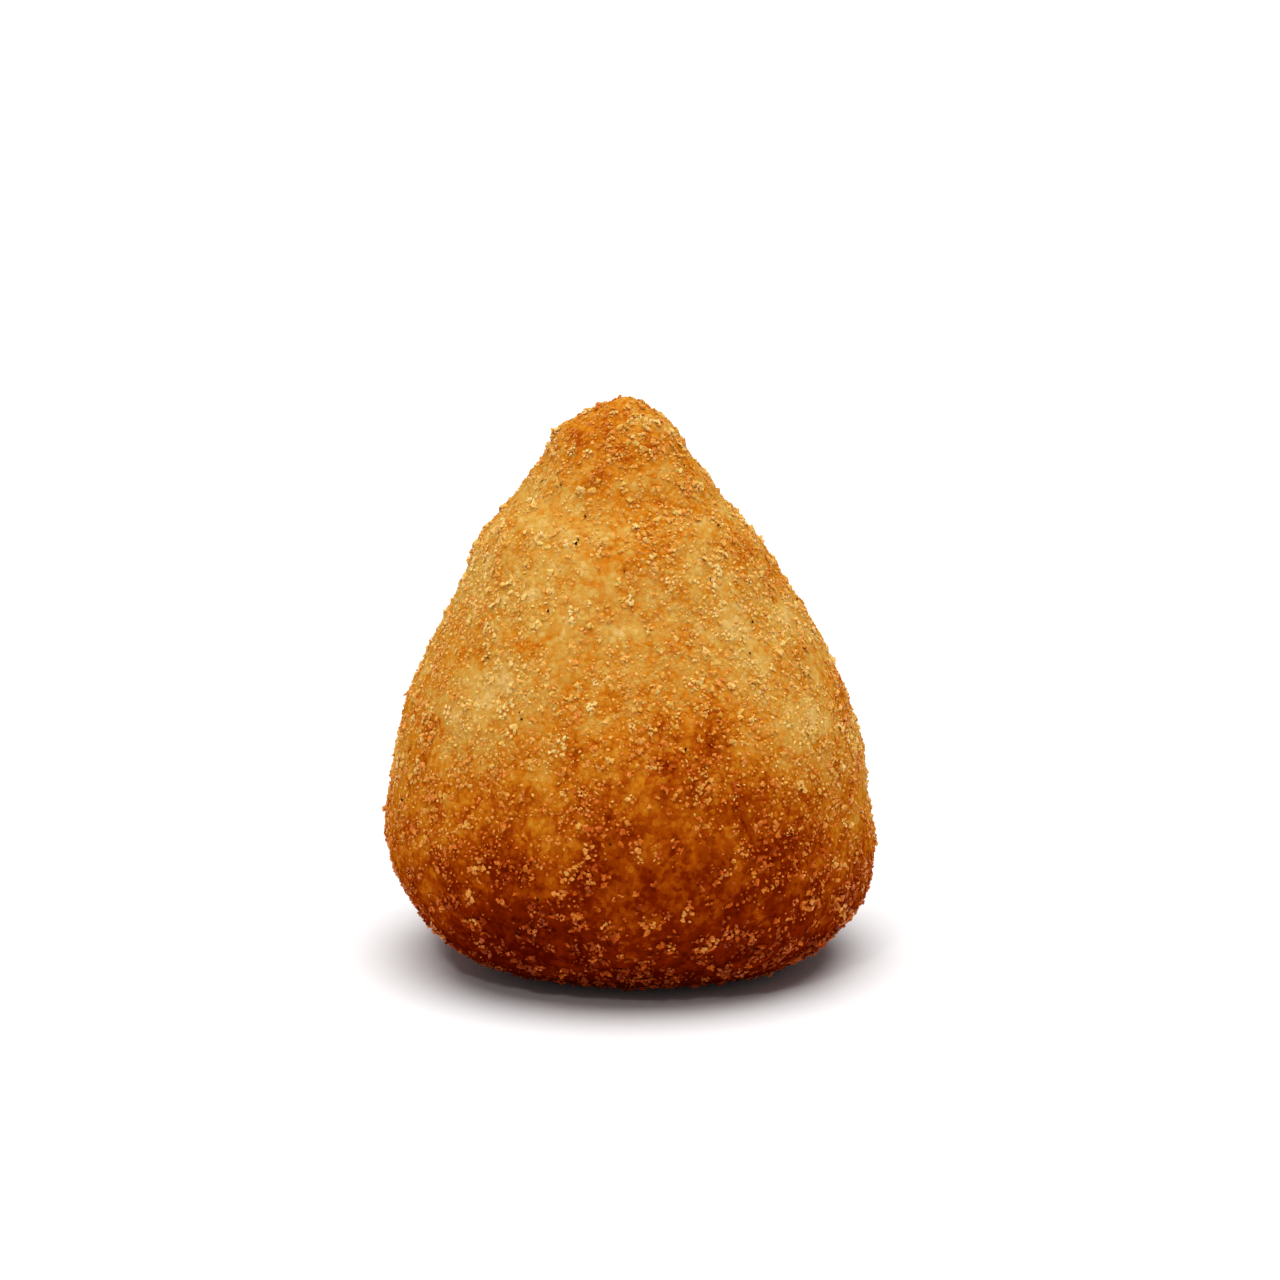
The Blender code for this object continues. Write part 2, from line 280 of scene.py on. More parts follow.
def grain_tree():
    """Raises the skin in grains, as the finest crumbs do that the batter has swallowed."""
    tree = bpy.data.node_groups.new("batter_grain", "GeometryNodeTree")
    tree.interface.new_socket("Skin", in_out="INPUT", socket_type="NodeSocketGeometry")
    tree.interface.new_socket("Grain size", in_out="INPUT", socket_type="NodeSocketFloat")
    tree.interface.new_socket("Grain height", in_out="INPUT", socket_type="NodeSocketFloat")
    tree.interface.new_socket("Grained skin", in_out="OUTPUT", socket_type="NodeSocketGeometry")
    nodes = add_nodes(tree, {
        "in": "NodeGroupInput", "out": "NodeGroupOutput", "place": "GeometryNodeInputPosition",
        "finer": "ShaderNodeMath", "cells": "ShaderNodeTexVoronoi", "coat": "GeometryNodeInputNamedAttribute",
        "hump": "ShaderNodeMath", "coated": "ShaderNodeMath", "rise": "ShaderNodeMath",
        "outward": "GeometryNodeInputNormal", "offset": "ShaderNodeVectorMath",
        "move": "GeometryNodeSetPosition",
    })
    nodes["finer"].operation = "DIVIDE"
    nodes["finer"].inputs[0].default_value = 1.0
    nodes["hump"].operation = "SUBTRACT"
    nodes["hump"].inputs[0].default_value = MEAN_FROM_MIDDLE
    nodes["coated"].operation = nodes["rise"].operation = "MULTIPLY"
    nodes["offset"].operation = "SCALE"
    nodes["coat"].data_type = "FLOAT"
    nodes["coat"].inputs["Name"].default_value = "coat"
    link = tree.links.new
    link(nodes["in"].outputs["Grain size"], nodes["finer"].inputs[1])
    link(nodes["place"].outputs["Position"], nodes["cells"].inputs["Vector"])
    link(nodes["finer"].outputs["Value"], nodes["cells"].inputs["Scale"])
    link(nodes["cells"].outputs["Distance"], nodes["hump"].inputs[1])
    link(nodes["hump"].outputs["Value"], nodes["coated"].inputs[0])
    link(nodes["coat"].outputs["Attribute"], nodes["coated"].inputs[1])
    link(nodes["coated"].outputs["Value"], nodes["rise"].inputs[0])
    link(nodes["in"].outputs["Grain height"], nodes["rise"].inputs[1])
    link(nodes["outward"].outputs["Normal"], nodes["offset"].inputs[0])
    link(nodes["rise"].outputs["Value"], nodes["offset"].inputs["Scale"])
    link(nodes["in"].outputs["Skin"], nodes["move"].inputs["Geometry"])
    link(nodes["offset"].outputs["Vector"], nodes["move"].inputs["Offset"])
    link(nodes["move"].outputs["Geometry"], nodes["out"].inputs["Grained skin"])
    return tree


def run_tree(piece, tree, settings):
    """Runs a geometry tree on a piece with these settings, and leaves the piece as a plain mesh."""
    modifier = piece.modifiers.new(tree.name, "NODES")
    modifier.node_group = tree
    for socket in tree.interface.items_tree:
        if socket.in_out == "INPUT" and socket.name in settings:
            modifier[socket.identifier] = settings[socket.name]
    graph = bpy.context.evaluated_depsgraph_get()
    mesh = bpy.data.meshes.new_from_object(piece.evaluated_get(graph))
    piece.modifiers.clear()
    piece.data = mesh
    mesh.name = piece.name


def linear(red, green, blue):
    """A colour that is read off a screen, from 0 to 255, as the light that a shader works with."""
    shares = [value / 255.0 for value in (red, green, blue)]
    return (*(s / 12.92 if s <= 0.04045 else ((s + 0.055) / 1.055) ** 2.4 for s in shares), 1.0)


GLOSSIEST = 0.1  # roughness where the oil lies thickest
MEAN_OF_NOISE = 0.5
MOTTLE_DETAIL = 3.0
FINE_GRAINS = 3.0  # to the width of one grain
GLOW_REACH = (1.0, 0.4, 0.12)  # red light goes furthest through fried crumb, then green, then blue

# The batter's colour for its browning and painted shade, from pale gold to red-brown: how brown, and the
# colour
BATTER_COLOURS = (
    (0.0, linear(222, 180, 106)),
    (0.15, linear(206, 155, 67)),
    (0.35, linear(201, 120, 22)),
    (0.55, linear(166, 72, 5)),
    (0.75, linear(122, 32, 1)),
    (1.0, linear(76, 9, 0)),
)


def fried_finish(name, colours, browner, tone_spread, mottle_size, mottle_spread, grain_size, grain_depth,
                 painted_shade_between, shine, dullest, see_through, glow_depth, toned_crumbs):
    """Fried crust: gold to red-brown by its browning and painted shade, mottled, a little translucent, and
    dull or shiny.

    Toned crumbs each have their own tone, and are darker where they are sunk in the batter: painted shade
    where crumb meets skin. The batter's tone changes from grain to grain, and it is darker between the
    grains: painted shade in the hollows.
    """
    material = bpy.data.materials.new(name)
    material.use_nodes = True
    tree = material.node_tree
    nodes = add_nodes(tree, {
        "place": "ShaderNodeTexCoord", "browning": "ShaderNodeAttribute", "tone": "ShaderNodeAttribute",
        "mottle": "ShaderNodeTexNoise", "grain": "ShaderNodeTexVoronoi", "fine_grain": "ShaderNodeTexNoise",
        "toned": "ShaderNodeMath", "mottled": "ShaderNodeMath", "evened": "ShaderNodeMath",
        "coat": "ShaderNodeAttribute", "grainy": "ShaderNodeMath", "between": "ShaderNodeMath",
        "sunk": "ShaderNodeAttribute", "colour": "ShaderNodeValToRGB", "fine_bump": "ShaderNodeBump",
        "bump": "ShaderNodeBump", "oiliness": "ShaderNodeMapRange",
    })
    shader = tree.nodes["Principled BSDF"]
    nodes["browning"].attribute_name = "browning"
    nodes["tone"].attribute_name = "tone"
    nodes["mottle"].inputs["Scale"].default_value = 1.0 / mottle_size
    nodes["mottle"].inputs["Detail"].default_value = MOTTLE_DETAIL
    nodes["grain"].inputs["Scale"].default_value = 1.0 / grain_size
    nodes["fine_grain"].inputs["Scale"].default_value = FINE_GRAINS / grain_size
    nodes["coat"].attribute_name = "coat"
    nodes["sunk"].attribute_name = "sunk"
    nodes["grainy"].operation = "MULTIPLY"
    nodes["toned"].operation = nodes["mottled"].operation = nodes["between"].operation = "MULTIPLY_ADD"
    # Painted shade: darker between the batter's grains and where a crumb is sunk in the batter
    nodes["between"].inputs[1].default_value = painted_shade_between
    nodes["evened"].inputs[1].default_value = (
        browner - MEAN_OF_NOISE * tone_spread - MEAN_OF_NOISE * mottle_spread
        - MEAN_FROM_MIDDLE * painted_shade_between)
    nodes["toned"].inputs[1].default_value = tone_spread
    nodes["mottled"].inputs[1].default_value = mottle_spread
    ramp = nodes["colour"].color_ramp
    ramp.elements.remove(ramp.elements[1])
    for position, colour in colours:
        element = ramp.elements[0] if position == 0.0 else ramp.elements.new(position)
        element.color = colour
    nodes["bump"].invert = True
    nodes["bump"].inputs["Distance"].default_value = grain_depth
    nodes["fine_bump"].inputs["Distance"].default_value = grain_depth / 2.0
    nodes["oiliness"].inputs["To Min"].default_value = GLOSSIEST
    nodes["oiliness"].inputs["To Max"].default_value = dullest
    shader.inputs["Specular IOR Level"].default_value = shine
    shader.inputs["Subsurface Weight"].default_value = see_through
    shader.inputs["Subsurface Radius"].default_value = GLOW_REACH
    shader.inputs["Subsurface Scale"].default_value = glow_depth
    link = tree.links.new
    for texture in ("mottle", "grain", "fine_grain"):
        link(nodes["place"].outputs["Object"], nodes[texture].inputs["Vector"])
    link(nodes["browning"].outputs["Fac"], nodes["toned"].inputs[2])
    tone = nodes["tone"].outputs["Fac"] if toned_crumbs else nodes["grain"].outputs["Color"]
    link(tone, nodes["toned"].inputs[0])
    link(nodes["mottle"].outputs["Fac"], nodes["mottled"].inputs[0])
    link(nodes["toned"].outputs["Value"], nodes["mottled"].inputs[2])
    link(nodes["grain"].outputs["Distance"], nodes["grainy"].inputs[0])
    link(nodes["coat"].outputs["Fac"], nodes["grainy"].inputs[1])
    low_place = nodes["sunk"].outputs["Fac"] if toned_crumbs else nodes["grainy"].outputs["Value"]
    link(low_place, nodes["between"].inputs[0])
    link(nodes["mottled"].outputs["Value"], nodes["between"].inputs[2])
    link(nodes["between"].outputs["Value"], nodes["evened"].inputs[0])
    link(nodes["evened"].outputs["Value"], nodes["colour"].inputs["Fac"])
    link(nodes["colour"].outputs["Color"], shader.inputs["Base Color"])
    link(nodes["fine_grain"].outputs["Fac"], nodes["oiliness"].inputs["Value"])
    link(nodes["oiliness"].outputs["Result"], shader.inputs["Roughness"])
    link(nodes["grainy"].outputs["Value"], nodes["bump"].inputs["Height"])
    link(nodes["fine_grain"].outputs["Fac"], nodes["fine_bump"].inputs["Height"])
    link(nodes["bump"].outputs["Normal"], nodes["fine_bump"].inputs["Normal"])
    link(nodes["fine_bump"].outputs["Normal"], shader.inputs["Normal"])
    return material


SKIN_GRAIN = {"Grain size": 1.5 * MM, "Grain height": 0.4 * MM}

crust_skin = make_skin()
run_tree(crust_skin, grain_tree(), SKIN_GRAIN)
crust_skin.data.materials.append(fried_finish(
    "fried_batter", BATTER_COLOURS, browner=0.05, tone_spread=0.2, mottle_size=1.6 * MM, mottle_spread=0.42,
    grain_size=0.7 * MM, grain_depth=0.25 * MM, painted_shade_between=0.2, shine=0.0, dullest=0.6,
    see_through=0.2, glow_depth=0.4 * MM, toned_crumbs=False))
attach(crust_skin, "root")
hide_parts("arancino")


# The crumbs. Dry bread is grated, so the crumbs are angular and of all sizes, and they stick to the batter
# where they touch it. In the oil they turn into glassy gold grains, lighter than the skin between them:
# partly their own paler tone, partly painted highlight on the crumbs and painted shade on the skin between
# them.

CRUMB_SHAPES = 6  # of each kind
CRUMB_FLATNESS = (1.0, 0.85, 0.6)
CORNER_TURN = 3.0 - math.sqrt(5.0)  # half turns from one corner to the next, which spreads them evenly
CORNER_STRAY = 0.35
CORNER_REACH = (0.28, 0.58)  # from the crumb's middle, in widths of the crumb
SMALL_CRUMB_POWER = 1.7  # above 1: more of the crumbs are small than large


def crumb_shape(corners, draw):
    """An angular crumb one unit wide round the origin: the hull of a few strayed points."""
    crumb = bmesh.new()
    for number in range(corners):
        height = 1.0 - 2.0 * (number + 0.5) / corners
        turn = number * math.pi * CORNER_TURN + draw.uniform(-CORNER_STRAY, CORNER_STRAY)
        around = math.sqrt(1.0 - height * height)
        corner = Vector((around * math.cos(turn), around * math.sin(turn), height))
        corner *= draw.uniform(*CORNER_REACH)
        crumb.verts.new([size * share for size, share in zip(corner, CRUMB_FLATNESS)])
    hull = bmesh.ops.convex_hull(crumb, input=crumb.verts)
    bmesh.ops.delete(crumb, geom=list(set(hull["geom_interior"] + hull["geom_unused"])), context="VERTS")
    return crumb


def shape_set(name, corners, parts, part_size, reach, seed):
    """A collection of crumb shapes. Each is one hull, or several smaller ones that fried together."""
    draw = random.Random(seed)
    shapes = bpy.data.collections.new(name)
    for number in range(CRUMB_SHAPES):
        whole = bmesh.new()
        for _ in range(parts):
            crumb = crumb_shape(corners, draw)
            if parts > 1:
                away = Vector([draw.uniform(-far, far) for far in reach])
                turn = Matrix.Rotation(draw.uniform(0.0, math.tau), 4, "Z")
                crumb.transform(Matrix.Translation(away) @ turn @ Matrix.Scale(draw.uniform(*part_size), 4))
            piece = bpy.data.meshes.new("part")
            crumb.to_mesh(piece)
            crumb.free()
            whole.from_mesh(piece)
            bpy.data.meshes.remove(piece)
        mesh = bpy.data.meshes.new(f"{name}_{number}")
        whole.to_mesh(mesh)
        whole.free()
        shapes.objects.link(bpy.data.objects.new(f"{name}_{number}", mesh))
    return shapes


def crumb_tree():
    """Scatters crumb shapes over a skin, as densely as the value named in Laid by says.

    Each is turned and sized by chance and sunk a little. It keeps the skin's values where it lies, a tone
    of its own, and how sunk each of its corners is: from 1 at the skin to 0 at Blending up to above it. The
    finish darkens the sunk corners as painted shade.
    """
    tree = bpy.data.node_groups.new("crumbs_on_batter", "GeometryNodeTree")
    for name, kind in (
        ("Skin", "Geometry"), ("Shapes", "Collection"), ("Finish", "Material"), ("Number per area", "Float"),
        ("Laid by", "String"), ("Spacing", "Float"), ("Smallest", "Float"), ("Largest", "Float"),
        ("Standing proud", "Float"), ("Lowest", "Float"), ("Bare below", "Float"), ("Tumbling", "Float"),
        ("Blending up to", "Float"), ("Seed", "Int"),
    ):
        tree.interface.new_socket(name, in_out="INPUT", socket_type="NodeSocket" + kind)
    tree.interface.new_socket("Crumbs", in_out="OUTPUT", socket_type="NodeSocketGeometry")
    nodes = add_nodes(tree, {
        "in": "NodeGroupInput", "out": "NodeGroupOutput", "place": "GeometryNodeInputPosition",
        "height": "ShaderNodeSeparateXYZ", "high": "FunctionNodeCompare",
        "coat": "GeometryNodeInputNamedAttribute", "covered": "ShaderNodeMapRange",
        "spread": "GeometryNodeDistributePointsOnFaces", "chance": "FunctionNodeRandomValue",
        "smaller": "ShaderNodeMath", "size": "ShaderNodeMapRange", "proud": "ShaderNodeMath",
        "outward": "ShaderNodeVectorMath", "sink": "GeometryNodeSetPosition",
        "tone": "FunctionNodeRandomValue", "keep_tone": "GeometryNodeStoreNamedAttribute",
        "other_way": "ShaderNodeMath", "least_turn": "ShaderNodeCombineXYZ",
        "most_turn": "ShaderNodeCombineXYZ", "turn": "FunctionNodeRandomValue",
        "tumble": "FunctionNodeRotateRotation", "shapes": "GeometryNodeCollectionInfo",
        "place_crumbs": "GeometryNodeInstanceOnPoints", "real": "GeometryNodeRealizeInstances",
        "above": "GeometryNodeProximity", "blend": "ShaderNodeMapRange",
        "keep_sunk": "GeometryNodeStoreNamedAttribute", "finish": "GeometryNodeSetMaterial",
    })
    nodes["high"].operation = "GREATER_THAN"
    nodes["coat"].data_type = "FLOAT"
    nodes["spread"].distribute_method = "POISSON"
    nodes["smaller"].operation = "POWER"
    nodes["smaller"].inputs[1].default_value = SMALL_CRUMB_POWER
    nodes["proud"].operation = "MULTIPLY"
    nodes["outward"].operation = "SCALE"
    nodes["keep_tone"].data_type = "FLOAT"
    nodes["keep_tone"].inputs["Name"].default_value = "tone"
    nodes["keep_sunk"].data_type = "FLOAT"
    nodes["keep_sunk"].inputs["Name"].default_value = "sunk"
    nodes["above"].target_element = "FACES"
    nodes["blend"].inputs["To Min"].default_value = 1.0
    nodes["blend"].inputs["To Max"].default_value = 0.0
    nodes["turn"].data_type = "FLOAT_VECTOR"
    nodes["other_way"].operation = "MULTIPLY"
    nodes["other_way"].inputs[1].default_value = -1.0
    nodes["least_turn"].inputs["Z"].default_value = -math.pi
    nodes["most_turn"].inputs["Z"].default_value = math.pi
    nodes["tumble"].rotation_space = "LOCAL"
    nodes["shapes"].inputs["Separate Children"].default_value = True
    nodes["shapes"].inputs["Reset Children"].default_value = True
    nodes["place_crumbs"].inputs["Pick Instance"].default_value = True
    link = tree.links.new
    given = nodes["in"].outputs
    link(nodes["place"].outputs["Position"], nodes["height"].inputs["Vector"])
    link(nodes["height"].outputs["Z"], nodes["high"].inputs[0])
    link(given["Lowest"], nodes["high"].inputs[1])
    link(given["Laid by"], nodes["coat"].inputs["Name"])
    link(nodes["coat"].outputs["Attribute"], nodes["covered"].inputs["Value"])
    link(given["Bare below"], nodes["covered"].inputs["From Min"])
    link(given["Skin"], nodes["spread"].inputs["Mesh"])
    link(nodes["high"].outputs["Result"], nodes["spread"].inputs["Selection"])
    link(given["Spacing"], nodes["spread"].inputs["Distance Min"])
    link(given["Number per area"], nodes["spread"].inputs["Density Max"])
    link(nodes["covered"].outputs["Result"], nodes["spread"].inputs["Density Factor"])
    link(given["Seed"], nodes["spread"].inputs["Seed"])
    link(given["Seed"], nodes["chance"].inputs["Seed"])
    link(nodes["chance"].outputs[1], nodes["smaller"].inputs[0])
    link(nodes["smaller"].outputs["Value"], nodes["size"].inputs["Value"])
    link(given["Smallest"], nodes["size"].inputs["To Min"])
    link(given["Largest"], nodes["size"].inputs["To Max"])
    link(nodes["size"].outputs["Result"], nodes["proud"].inputs[0])
    link(given["Standing proud"], nodes["proud"].inputs[1])
    link(nodes["spread"].outputs["Normal"], nodes["outward"].inputs[0])
    link(nodes["proud"].outputs["Value"], nodes["outward"].inputs["Scale"])
    link(nodes["spread"].outputs["Points"], nodes["keep_tone"].inputs["Geometry"])
    link(nodes["tone"].outputs[1], nodes["keep_tone"].inputs["Value"])
    link(nodes["keep_tone"].outputs["Geometry"], nodes["sink"].inputs["Geometry"])
    link(nodes["outward"].outputs["Vector"], nodes["sink"].inputs["Offset"])
    link(nodes["sink"].outputs["Geometry"], nodes["place_crumbs"].inputs["Points"])
    link(given["Shapes"], nodes["shapes"].inputs["Collection"])
    link(nodes["shapes"].outputs["Instances"], nodes["place_crumbs"].inputs["Instance"])
    link(given["Tumbling"], nodes["other_way"].inputs[0])
    for axis in ("X", "Y"):
        link(nodes["other_way"].outputs["Value"], nodes["least_turn"].inputs[axis])
        link(given["Tumbling"], nodes["most_turn"].inputs[axis])
    link(nodes["least_turn"].outputs["Vector"], nodes["turn"].inputs[0])
    link(nodes["most_turn"].outputs["Vector"], nodes["turn"].inputs[1])
    link(nodes["spread"].outputs["Rotation"], nodes["tumble"].inputs["Rotation"])
    link(nodes["turn"].outputs["Value"], nodes["tumble"].inputs["Rotate By"])
    link(nodes["tumble"].outputs["Rotation"], nodes["place_crumbs"].inputs["Rotation"])
    link(nodes["size"].outputs["Result"], nodes["place_crumbs"].inputs["Scale"])
    link(nodes["place_crumbs"].outputs["Instances"], nodes["real"].inputs["Geometry"])
    link(given["Skin"], nodes["above"].inputs[0])
    link(nodes["above"].outputs["Distance"], nodes["blend"].inputs["Value"])
    link(given["Blending up to"], nodes["blend"].inputs["From Max"])
    link(nodes["real"].outputs["Geometry"], nodes["keep_sunk"].inputs["Geometry"])
    link(nodes["blend"].outputs["Result"], nodes["keep_sunk"].inputs["Value"])
    link(nodes["keep_sunk"].outputs["Geometry"], nodes["finish"].inputs["Geometry"])
    link(given["Finish"], nodes["finish"].inputs["Material"])
    link(nodes["finish"].outputs["Geometry"], nodes["out"].inputs["Crumbs"])
    return tree


crumbs_on_batter = crumb_tree()


def lay_crumbs(name, shapes, finish, settings):
    """Lays one kind of crumb over the whole skin, as one piece."""
    piece = bpy.data.objects.new(name, crust_skin.data.copy())
    bpy.context.scene.collection.objects.link(piece)
    run_tree(piece, crumbs_on_batter, {"Shapes": shapes, "Finish": finish, **settings})
    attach(piece, "root")


# The crumbs' colour for their browning and painted shade, from pale gold to brown: it stays lighter than the
# batter's, partly their own paler tone and partly painted highlight.
CRUMB_COLOURS = (
    (0.0, linear(246, 206, 130)),
    (0.25, linear(229, 175, 82)),
    (0.5, linear(221, 139, 52)),
    (0.75, linear(199, 91, 17)),
    (1.0, linear(145, 50, 4)),
)
gold_crumb = fried_finish(
    "gold_crumb", CRUMB_COLOURS, browner=0.11, tone_spread=0.32, mottle_size=0.5 * MM, mottle_spread=0.5,
    grain_size=0.3 * MM, grain_depth=0.08 * MM, painted_shade_between=0.28, shine=0.06, dullest=0.35,
    see_through=0.7, glow_depth=0.2 * MM, toned_crumbs=True)
# Paler crumbs: the clumps' own paler tone, and on the small sparse crumbs a painted highlight standing in for
# glints of oil
pale_crumb = fried_finish(
    "pale_crumb", CRUMB_COLOURS, browner=-0.09, tone_spread=0.3, mottle_size=0.5 * MM, mottle_spread=0.4,
    grain_size=0.3 * MM, grain_depth=0.08 * MM, painted_shade_between=0.28, shine=0.2, dullest=0.4,
    see_through=0.7, glow_depth=0.2 * MM, toned_crumbs=True)
small_shapes = shape_set(
    "small_crumb", corners=8, parts=1, part_size=(1.0, 1.0), reach=(0.0, 0.0, 0.0), seed=11)
knobbly_shapes = shape_set(
    "knobbly_crumb", corners=7, parts=4, part_size=(0.45, 0.7), reach=(0.28, 0.24, 0.08), seed=12)
clump_shapes = shape_set(
    "crumb_clump", corners=8, parts=8, part_size=(0.28, 0.45), reach=(0.36, 0.36, 0.08), seed=13)

# Five kinds of crumb. Numbers are for a square metre. Smallest and Largest are widths, and Standing proud is
# a share of the width. No crumb lies where the coat is under Bare below, and Tumbling is the most it tilts.
lay_crumbs("fine_crumbs", small_shapes, gold_crumb, {
    "Laid by": "coat", "Number per area": 1.6e6, "Spacing": 0.5 * MM, "Smallest": 0.45 * MM,
    "Largest": 1.0 * MM, "Standing proud": 0.02, "Lowest": 0.8 * MM, "Bare below": 0.3, "Tumbling": 0.9,
    "Blending up to": 0.2 * MM, "Seed": 2})
# Painted glints: sparse small near-white gold crumbs that stand in for glints of oil
lay_crumbs("pale_crumbs", small_shapes, pale_crumb, {
    "Laid by": "coat", "Number per area": 0.35e6, "Spacing": 0.6 * MM, "Smallest": 0.35 * MM,
    "Largest": 0.75 * MM, "Standing proud": 0.1, "Lowest": 0.8 * MM, "Bare below": 0.0, "Tumbling": math.pi,
    "Blending up to": 0.2 * MM, "Seed": 5})
lay_crumbs("middling_crumbs", knobbly_shapes, gold_crumb, {
    "Laid by": "coat", "Number per area": 0.6e6, "Spacing": 0.95 * MM, "Smallest": 0.95 * MM,
    "Largest": 2.2 * MM, "Standing proud": -0.02, "Lowest": 1.2 * MM, "Bare below": 0.35, "Tumbling": 0.5,
    "Blending up to": 0.3 * MM, "Seed": 3})
lay_crumbs("stringing_crumbs", knobbly_shapes, gold_crumb, {
    "Laid by": "clumping", "Number per area": 2.0e6, "Spacing": 0.7 * MM, "Smallest": 0.85 * MM,
    "Largest": 2.0 * MM, "Standing proud": 0.05, "Lowest": 1.0 * MM, "Bare below": 0.0, "Tumbling": 0.8,
    "Blending up to": 0.35 * MM, "Seed": 6})
lay_crumbs("crumb_clumps", clump_shapes, pale_crumb, {
    "Laid by": "clumping", "Number per area": 0.2e6, "Spacing": 1.4 * MM, "Smallest": 1.4 * MM,
    "Largest": 2.8 * MM, "Standing proud": 0.06, "Lowest": 2.0 * MM, "Bare below": 0.0, "Tumbling": 0.25,
    "Blending up to": 0.4 * MM, "Seed": 4})


# The dark specks. Grains of ground pepper and bits of crumb that stayed in the oil from the last batch are
# caught in the coat here and there, most of them by chance.

SPECK_COUNT = 60
SPECK_WIDTH = (0.3 * MM, 0.7 * MM)
SPECK_CORNERS = 9
SPECK_LIFT = 0.25 * MM  # from the skin to a speck's middle
SPECKS_FROM = 1.0 * MM  # above the floor
SPECK_MOTTLE = 0.8 * MM
SPECK_BLACK, SPECK_BROWN = linear(34, 14, 5), linear(92, 42, 12)
SPECK_BLACK_UP_TO, SPECK_BROWN_FROM = 0.35, 0.7  # of the mottle's noise
SPECK_ROUGHNESS = 0.45
SPECK_SEED = 21

# Specks of the front, right and up from the foot's middle
FRONT_SPECKS = (
    (-6.2 * MM, 69.2 * MM), (-7.3 * MM, 66.2 * MM), (-11.4 * MM, 57.0 * MM), (-12.4 * MM, 55.5 * MM),
    (-15.5 * MM, 43.4 * MM), (-15.3 * MM, 42.4 * MM), (11.0 * MM, 60.6 * MM), (-20.0 * MM, 49.6 * MM),
    (7.5 * MM, 39.0 * MM), (8.1 * MM, 38.4 * MM), (-3.0 * MM, 27.0 * MM), (22.6 * MM, 25.8 * MM),
)


def dark_speck_finish():
    """Burnt crumb: nearly black, mottled with brown, and dull."""
    material = bpy.data.materials.new("burnt_speck")
    material.use_nodes = True
    tree = material.node_tree
    nodes = add_nodes(tree, {"place": "ShaderNodeTexCoord", "mottle": "ShaderNodeTexNoise",
                             "colour": "ShaderNodeValToRGB"})
    shader = tree.nodes["Principled BSDF"]
    nodes["mottle"].inputs["Scale"].default_value = 1.0 / SPECK_MOTTLE
    black, brown = nodes["colour"].color_ramp.elements
    black.position = SPECK_BLACK_UP_TO
    black.color = SPECK_BLACK
    brown.position = SPECK_BROWN_FROM
    brown.color = SPECK_BROWN
    shader.inputs["Roughness"].default_value = SPECK_ROUGHNESS
    shader.inputs["Specular IOR Level"].default_value = 0.0
    tree.links.new(nodes["place"].outputs["Object"], nodes["mottle"].inputs["Vector"])
    tree.links.new(nodes["mottle"].outputs["Fac"], nodes["colour"].inputs["Fac"])
    tree.links.new(nodes["colour"].outputs["Color"], shader.inputs["Base Color"])
    return material


def make_specks():
    """The specks, each lying in the skin at its place."""
    draw = random.Random(SPECK_SEED)
    points = np.array([vertex.co for vertex in crust_skin.data.vertices])
    front = points[points[:, 1] < 0.0]
    places = [front[np.hypot(front[:, 0] - right, front[:, 2] - up).argmin()] for right, up in FRONT_SPECKS]
    places += [points[draw.randrange(len(points))] for _ in range(SPECK_COUNT)]
    whole = bmesh.new()
    for place in places:
        if place[2] < SPECKS_FROM:
            continue
        width = draw.uniform(*SPECK_WIDTH)
        turn = Euler([draw.uniform(0.0, math.tau) for _ in range(3)]).to_matrix().to_4x4()
        outward = Vector((place[0], place[1], 0.0)).normalized() * SPECK_LIFT
        crumb = crumb_shape(SPECK_CORNERS, draw)
        crumb.transform(Matrix.Translation(Vector(place) + outward) @ turn @ Matrix.Scale(width, 4))
        piece = bpy.data.meshes.new("speck")
        crumb.to_mesh(piece)
        crumb.free()
        whole.from_mesh(piece)
        bpy.data.meshes.remove(piece)
    mesh = bpy.data.meshes.new("dark_specks")
    whole.to_mesh(mesh)
    whole.free()
    piece = bpy.data.objects.new("dark_specks", mesh)
    bpy.context.scene.collection.objects.link(piece)
    return piece


dark_specks = make_specks()
dark_specks.data.materials.append(dark_speck_finish())
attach(dark_specks, "root")


# The studio. The food stands on a plain pale floor under a wide soft light from above and a little in
# front, in a room of even light, so that it shades the floor only near its foot. A small lamp in front and
# to the left makes the oil glint.

FLOOR_WIDTH = 6.0
FLOOR_COLOUR, FLOOR_ROUGHNESS, FLOOR_SHINE = (0.92, 0.92, 0.92, 1.0), 0.8, 0.2
WHITE = (1.0, 1.0, 1.0, 1.0)
ROOM_LIGHT, ROOM_SEEN = 0.2, 1.05  # what the room sheds, and how bright it looks itself
OVERHEAD_FROM, OVERHEAD_AIM = Vector((0.0, -0.1, 1.0)), Vector((0.0, 0.0, 0.0))
OVERHEAD_POWER, OVERHEAD_WIDTH = 3.65, math.radians(65)
GLINTS_FROM, GLINTS_AIM = Vector((-0.15, -0.5, 0.45)), Vector((0.0, 0.0, 0.04))
GLINTS_POWER, GLINTS_WIDTH = 0.4, 0.06


def make_floor():
    half = FLOOR_WIDTH / 2.0
    mesh = bpy.data.meshes.new("floor")
    mesh.from_pydata([(-half, -half, 0.0), (half, -half, 0.0), (half, half, 0.0), (-half, half, 0.0)], [],
                     [(0, 1, 2, 3)])
    material = bpy.data.materials.new("pale_floor")
    material.use_nodes = True
    shader = material.node_tree.nodes["Principled BSDF"]
    shader.inputs["Base Color"].default_value = FLOOR_COLOUR
    shader.inputs["Roughness"].default_value = FLOOR_ROUGHNESS
    shader.inputs["Specular IOR Level"].default_value = FLOOR_SHINE
    mesh.materials.append(material)
    piece = bpy.data.objects.new("floor", mesh)
    bpy.context.scene.collection.objects.link(piece)


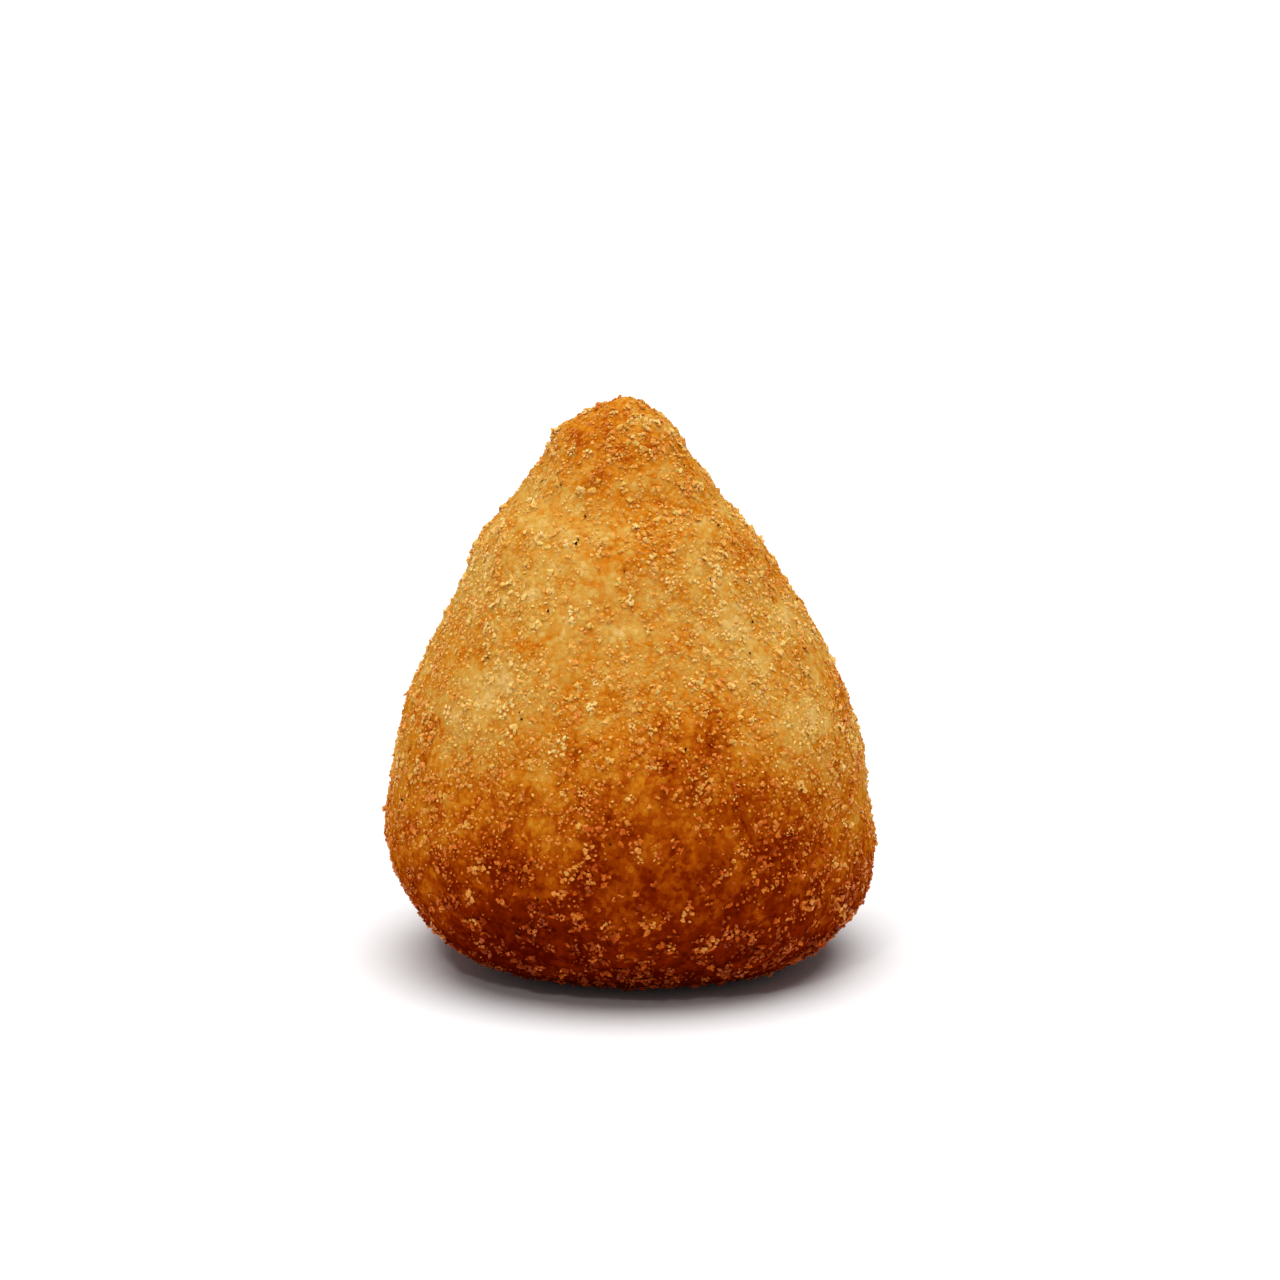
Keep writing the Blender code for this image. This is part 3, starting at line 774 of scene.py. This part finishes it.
def add_light(name, kind, place, aim, power, width):
    """A lamp. A sun's width is the angle that it fills, another lamp's is its disk's width."""
    light = bpy.data.lights.new(name, kind)
    light.energy = power
    if kind == "SUN":
        light.angle = width
    else:
        light.shape = "DISK"
        light.size = width
    lamp = bpy.data.objects.new(name, light)
    lamp.location = place
    lamp.rotation_euler = (aim - place).to_track_quat("-Z", "Y").to_euler()
    bpy.context.scene.collection.objects.link(lamp)


def make_room():
    """Dim even light from all round. The room itself is bare white where the camera sees it."""
    world = bpy.data.worlds.new("studio")
    world.use_nodes = True
    tree = world.node_tree
    nodes = add_nodes(tree, {"seen": "ShaderNodeLightPath", "walls": "ShaderNodeBackground",
                             "mix": "ShaderNodeMixShader"})
    dim = tree.nodes["Background"]
    dim.inputs["Color"].default_value = WHITE
    dim.inputs["Strength"].default_value = ROOM_LIGHT
    nodes["walls"].inputs["Color"].default_value = WHITE
    nodes["walls"].inputs["Strength"].default_value = ROOM_SEEN
    tree.links.new(nodes["seen"].outputs["Is Camera Ray"], nodes["mix"].inputs["Fac"])
    tree.links.new(dim.outputs["Background"], nodes["mix"].inputs[1])
    tree.links.new(nodes["walls"].outputs["Background"], nodes["mix"].inputs[2])
    tree.links.new(nodes["mix"].outputs["Shader"], tree.nodes["World Output"].inputs["Surface"])
    bpy.context.scene.world = world


make_floor()
make_room()
add_light("wide_overhead", "SUN", OVERHEAD_FROM, OVERHEAD_AIM, OVERHEAD_POWER, OVERHEAD_WIDTH)
add_light("spot_for_glints", "AREA", GLINTS_FROM, GLINTS_AIM, GLINTS_POWER, GLINTS_WIDTH)
bpy.context.scene.view_settings.view_transform = "Standard"

# The camera stands 480 mm away and 12 degrees above the food, and looks a little above its middle
CAMERA_PLACE = Vector((0.0, -467.7 * MM, 150.0 * MM))
CAMERA_AIM = Vector((1.4 * MM, 1.3 * MM, 47.6 * MM))
CAMERA_LENS = 91.2
camera = bpy.data.objects.new("camera", bpy.data.cameras.new("camera"))
camera.data.lens = CAMERA_LENS
camera.location = CAMERA_PLACE
camera.rotation_euler = (CAMERA_AIM - CAMERA_PLACE).to_track_quat("-Z", "Y").to_euler()
bpy.context.scene.collection.objects.link(camera)
bpy.context.scene.camera = camera
